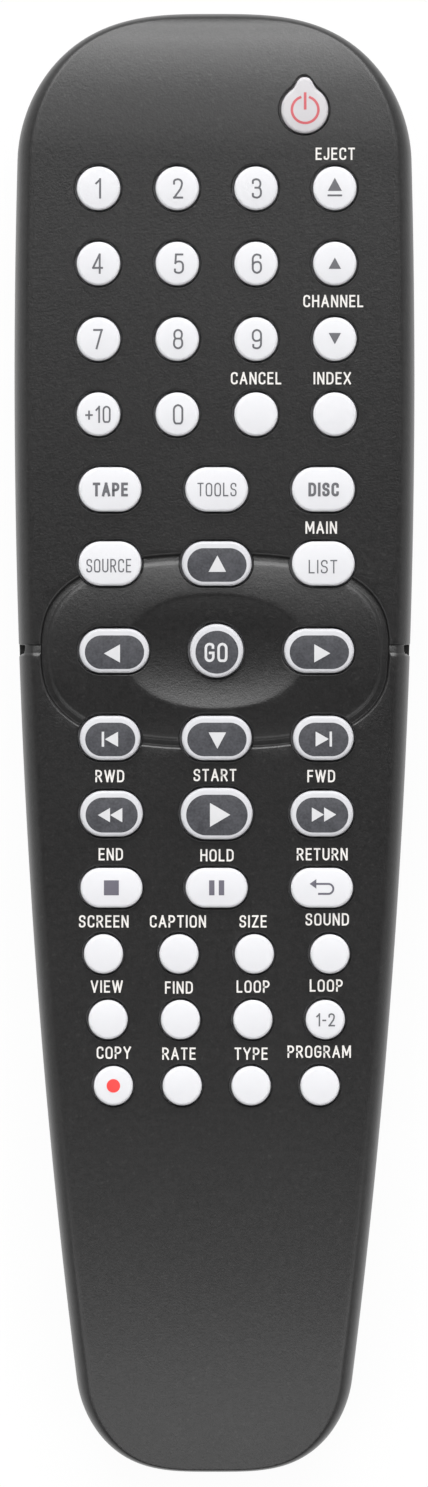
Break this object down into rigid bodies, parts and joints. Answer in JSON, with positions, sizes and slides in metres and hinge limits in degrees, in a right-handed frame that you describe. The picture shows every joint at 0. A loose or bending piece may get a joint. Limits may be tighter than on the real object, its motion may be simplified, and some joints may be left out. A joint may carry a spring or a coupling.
{
  "type": "handheld remote control",
  "caption": "Handheld infrared remote control with travelling keys on a tapered charcoal casing, a cursor oval, cells inside and a sliding battery door.",
  "frame": {"origin": "on the surface under the level belly, below the middle of the bounding box", "axes": "+Z out of the key face, +Y along the casing towards the nose that sends the infrared light, +X to the right as the keys are read"},
  "size_m": [0.0562, 0.205, 0.0264],
  "materials": {
    "casing": "fine matte grain",
    "key_white": "smooth satin silicone",
    "key_dark": "slate face on a white rim",
    "mat": "satin silicone",
    "board": "satin laminate",
    "chip": "matte epoxy",
    "window": "clear dark plastic",
    "cell": "printed foil jacket",
    "contact": "nickel plated"
  },
  "bodies": {
    "housing": {"top_cover": "casing", "bottom_cover": "casing", "keypad_mat": "mat", "circuit_board": "board", "controller_chip": "chip", "ir_led": "window", "ir_window": "window", "battery_left": "cell", "battery_right": "cell", "contact_bridge": "contact", "contact_spring": "contact", "contact_plate": "contact"},
    "battery_door": {"battery_door": "casing"},
    "key_power": {"key_power": "key_white"},
    "key_1": {"key_1": "key_white"},
    "key_2": {"key_2": "key_white"},
    "key_3": {"key_3": "key_white"},
    "key_eject": {"key_eject": "key_white"},
    "key_4": {"key_4": "key_white"},
    "key_5": {"key_5": "key_white"},
    "key_6": {"key_6": "key_white"},
    "key_channel_up": {"key_channel_up": "key_white"},
    "key_7": {"key_7": "key_white"},
    "key_8": {"key_8": "key_white"},
    "key_9": {"key_9": "key_white"},
    "key_channel_down": {"key_channel_down": "key_white"},
    "key_plus_10": {"key_plus_10": "key_white"},
    "key_0": {"key_0": "key_white"},
    "key_cancel": {"key_cancel": "key_white"},
    "key_index": {"key_index": "key_white"},
    "key_tape": {"key_tape": "key_white"},
    "key_tools": {"key_tools": "key_white"},
    "key_disc": {"key_disc": "key_white"},
    "key_source": {"key_source": "key_white"},
    "key_cursor_up": {"key_cursor_up": "key_dark"},
    "key_list": {"key_list": "key_white"},
    "key_cursor_left": {"key_cursor_left": "key_dark"},
    "key_go": {"key_go": "key_dark"},
    "key_cursor_right": {"key_cursor_right": "key_dark"},
    "key_previous": {"key_previous": "key_dark"},
    "key_cursor_down": {"key_cursor_down": "key_dark"},
    "key_next": {"key_next": "key_dark"},
    "key_reverse": {"key_reverse": "key_dark"},
    "key_start": {"key_start": "key_dark"},
    "key_forward": {"key_forward": "key_dark"},
    "key_end": {"key_end": "key_white"},
    "key_hold": {"key_hold": "key_white"},
    "key_return": {"key_return": "key_white"},
    "key_screen": {"key_screen": "key_white"},
    "key_caption": {"key_caption": "key_white"},
    "key_size": {"key_size": "key_white"},
    "key_sound": {"key_sound": "key_white"},
    "key_view": {"key_view": "key_white"},
    "key_find": {"key_find": "key_white"},
    "key_loop": {"key_loop": "key_white"},
    "key_loop_part": {"key_loop_part": "key_white"},
    "key_copy": {"key_copy": "key_white"},
    "key_rate": {"key_rate": "key_white"},
    "key_type": {"key_type": "key_white"},
    "key_program": {"key_program": "key_white"}
  },
  "joints": [
    {"name": "battery_door_slide", "type": "slide", "parent": "housing", "child": "battery_door", "axis": [0, -1, 0], "range_m": [0, 0.095]},
    {"name": "key_power_press", "type": "slide", "parent": "housing", "child": "key_power", "axis": [0, 0, -1], "range_m": [0, 0.001], "stiffness_N_per_m": 600, "springref_m": -0.0008},
    {"name": "key_1_press", "type": "slide", "parent": "housing", "child": "key_1", "axis": [0, 0, -1], "range_m": [0, 0.001], "stiffness_N_per_m": 600, "springref_m": -0.0008},
    {"name": "key_2_press", "type": "slide", "parent": "housing", "child": "key_2", "axis": [0, 0, -1], "range_m": [0, 0.001], "stiffness_N_per_m": 600, "springref_m": -0.0008},
    {"name": "key_3_press", "type": "slide", "parent": "housing", "child": "key_3", "axis": [0, 0, -1], "range_m": [0, 0.001], "stiffness_N_per_m": 600, "springref_m": -0.0008},
    {"name": "key_eject_press", "type": "slide", "parent": "housing", "child": "key_eject", "axis": [0, 0, -1], "range_m": [0, 0.001], "stiffness_N_per_m": 600, "springref_m": -0.0008},
    {"name": "key_4_press", "type": "slide", "parent": "housing", "child": "key_4", "axis": [0, 0, -1], "range_m": [0, 0.001], "stiffness_N_per_m": 600, "springref_m": -0.0008},
    {"name": "key_5_press", "type": "slide", "parent": "housing", "child": "key_5", "axis": [0, 0, -1], "range_m": [0, 0.001], "stiffness_N_per_m": 600, "springref_m": -0.0008},
    {"name": "key_6_press", "type": "slide", "parent": "housing", "child": "key_6", "axis": [0, 0, -1], "range_m": [0, 0.001], "stiffness_N_per_m": 600, "springref_m": -0.0008},
    {"name": "key_channel_up_press", "type": "slide", "parent": "housing", "child": "key_channel_up", "axis": [0, 0, -1], "range_m": [0, 0.001], "stiffness_N_per_m": 600, "springref_m": -0.0008},
    {"name": "key_7_press", "type": "slide", "parent": "housing", "child": "key_7", "axis": [0, 0, -1], "range_m": [0, 0.001], "stiffness_N_per_m": 600, "springref_m": -0.0008},
    {"name": "key_8_press", "type": "slide", "parent": "housing", "child": "key_8", "axis": [0, 0, -1], "range_m": [0, 0.001], "stiffness_N_per_m": 600, "springref_m": -0.0008},
    {"name": "key_9_press", "type": "slide", "parent": "housing", "child": "key_9", "axis": [0, 0, -1], "range_m": [0, 0.001], "stiffness_N_per_m": 600, "springref_m": -0.0008},
    {"name": "key_channel_down_press", "type": "slide", "parent": "housing", "child": "key_channel_down", "axis": [0, 0, -1], "range_m": [0, 0.001], "stiffness_N_per_m": 600, "springref_m": -0.0008},
    {"name": "key_plus_10_press", "type": "slide", "parent": "housing", "child": "key_plus_10", "axis": [0, 0, -1], "range_m": [0, 0.001], "stiffness_N_per_m": 600, "springref_m": -0.0008},
    {"name": "key_0_press", "type": "slide", "parent": "housing", "child": "key_0", "axis": [0, 0, -1], "range_m": [0, 0.001], "stiffness_N_per_m": 600, "springref_m": -0.0008},
    {"name": "key_cancel_press", "type": "slide", "parent": "housing", "child": "key_cancel", "axis": [0, 0, -1], "range_m": [0, 0.001], "stiffness_N_per_m": 600, "springref_m": -0.0008},
    {"name": "key_index_press", "type": "slide", "parent": "housing", "child": "key_index", "axis": [0, 0, -1], "range_m": [0, 0.001], "stiffness_N_per_m": 600, "springref_m": -0.0008},
    {"name": "key_tape_press", "type": "slide", "parent": "housing", "child": "key_tape", "axis": [0, 0, -1], "range_m": [0, 0.001], "stiffness_N_per_m": 600, "springref_m": -0.0008},
    {"name": "key_tools_press", "type": "slide", "parent": "housing", "child": "key_tools", "axis": [0, 0, -1], "range_m": [0, 0.001], "stiffness_N_per_m": 600, "springref_m": -0.0008},
    {"name": "key_disc_press", "type": "slide", "parent": "housing", "child": "key_disc", "axis": [0, 0, -1], "range_m": [0, 0.001], "stiffness_N_per_m": 600, "springref_m": -0.0008},
    {"name": "key_source_press", "type": "slide", "parent": "housing", "child": "key_source", "axis": [0, 0, -1], "range_m": [0, 0.001], "stiffness_N_per_m": 600, "springref_m": -0.0008},
    {"name": "key_cursor_up_press", "type": "slide", "parent": "housing", "child": "key_cursor_up", "axis": [0, 0, -1], "range_m": [0, 0.001], "stiffness_N_per_m": 600, "springref_m": -0.0008},
    {"name": "key_list_press", "type": "slide", "parent": "housing", "child": "key_list", "axis": [0, 0, -1], "range_m": [0, 0.001], "stiffness_N_per_m": 600, "springref_m": -0.0008},
    {"name": "key_cursor_left_press", "type": "slide", "parent": "housing", "child": "key_cursor_left", "axis": [0, 0, -1], "range_m": [0, 0.001], "stiffness_N_per_m": 600, "springref_m": -0.0008},
    {"name": "key_go_press", "type": "slide", "parent": "housing", "child": "key_go", "axis": [0, 0, -1], "range_m": [0, 0.001], "stiffness_N_per_m": 600, "springref_m": -0.0008},
    {"name": "key_cursor_right_press", "type": "slide", "parent": "housing", "child": "key_cursor_right", "axis": [0, 0, -1], "range_m": [0, 0.001], "stiffness_N_per_m": 600, "springref_m": -0.0008},
    {"name": "key_previous_press", "type": "slide", "parent": "housing", "child": "key_previous", "axis": [0, 0, -1], "range_m": [0, 0.001], "stiffness_N_per_m": 600, "springref_m": -0.0008},
    {"name": "key_cursor_down_press", "type": "slide", "parent": "housing", "child": "key_cursor_down", "axis": [0, 0, -1], "range_m": [0, 0.001], "stiffness_N_per_m": 600, "springref_m": -0.0008},
    {"name": "key_next_press", "type": "slide", "parent": "housing", "child": "key_next", "axis": [0, 0, -1], "range_m": [0, 0.001], "stiffness_N_per_m": 600, "springref_m": -0.0008},
    {"name": "key_reverse_press", "type": "slide", "parent": "housing", "child": "key_reverse", "axis": [0, 0, -1], "range_m": [0, 0.001], "stiffness_N_per_m": 600, "springref_m": -0.0008},
    {"name": "key_start_press", "type": "slide", "parent": "housing", "child": "key_start", "axis": [0, 0, -1], "range_m": [0, 0.001], "stiffness_N_per_m": 600, "springref_m": -0.0008},
    {"name": "key_forward_press", "type": "slide", "parent": "housing", "child": "key_forward", "axis": [0, 0, -1], "range_m": [0, 0.001], "stiffness_N_per_m": 600, "springref_m": -0.0008},
    {"name": "key_end_press", "type": "slide", "parent": "housing", "child": "key_end", "axis": [0, 0, -1], "range_m": [0, 0.001], "stiffness_N_per_m": 600, "springref_m": -0.0008},
    {"name": "key_hold_press", "type": "slide", "parent": "housing", "child": "key_hold", "axis": [0, 0, -1], "range_m": [0, 0.001], "stiffness_N_per_m": 600, "springref_m": -0.0008},
    {"name": "key_return_press", "type": "slide", "parent": "housing", "child": "key_return", "axis": [0, 0, -1], "range_m": [0, 0.001], "stiffness_N_per_m": 600, "springref_m": -0.0008},
    {"name": "key_screen_press", "type": "slide", "parent": "housing", "child": "key_screen", "axis": [0, 0, -1], "range_m": [0, 0.001], "stiffness_N_per_m": 600, "springref_m": -0.0008},
    {"name": "key_caption_press", "type": "slide", "parent": "housing", "child": "key_caption", "axis": [0, 0, -1], "range_m": [0, 0.001], "stiffness_N_per_m": 600, "springref_m": -0.0008},
    {"name": "key_size_press", "type": "slide", "parent": "housing", "child": "key_size", "axis": [0, 0, -1], "range_m": [0, 0.001], "stiffness_N_per_m": 600, "springref_m": -0.0008},
    {"name": "key_sound_press", "type": "slide", "parent": "housing", "child": "key_sound", "axis": [0, 0, -1], "range_m": [0, 0.001], "stiffness_N_per_m": 600, "springref_m": -0.0008},
    {"name": "key_view_press", "type": "slide", "parent": "housing", "child": "key_view", "axis": [0, 0, -1], "range_m": [0, 0.001], "stiffness_N_per_m": 600, "springref_m": -0.0008},
    {"name": "key_find_press", "type": "slide", "parent": "housing", "child": "key_find", "axis": [0, 0, -1], "range_m": [0, 0.001], "stiffness_N_per_m": 600, "springref_m": -0.0008},
    {"name": "key_loop_press", "type": "slide", "parent": "housing", "child": "key_loop", "axis": [0, 0, -1], "range_m": [0, 0.001], "stiffness_N_per_m": 600, "springref_m": -0.0008},
    {"name": "key_loop_part_press", "type": "slide", "parent": "housing", "child": "key_loop_part", "axis": [0, 0, -1], "range_m": [0, 0.001], "stiffness_N_per_m": 600, "springref_m": -0.0008},
    {"name": "key_copy_press", "type": "slide", "parent": "housing", "child": "key_copy", "axis": [0, 0, -1], "range_m": [0, 0.001], "stiffness_N_per_m": 600, "springref_m": -0.0008},
    {"name": "key_rate_press", "type": "slide", "parent": "housing", "child": "key_rate", "axis": [0, 0, -1], "range_m": [0, 0.001], "stiffness_N_per_m": 600, "springref_m": -0.0008},
    {"name": "key_type_press", "type": "slide", "parent": "housing", "child": "key_type", "axis": [0, 0, -1], "range_m": [0, 0.001], "stiffness_N_per_m": 600, "springref_m": -0.0008},
    {"name": "key_program_press", "type": "slide", "parent": "housing", "child": "key_program", "axis": [0, 0, -1], "range_m": [0, 0.001], "stiffness_N_per_m": 600, "springref_m": -0.0008}
  ]
}
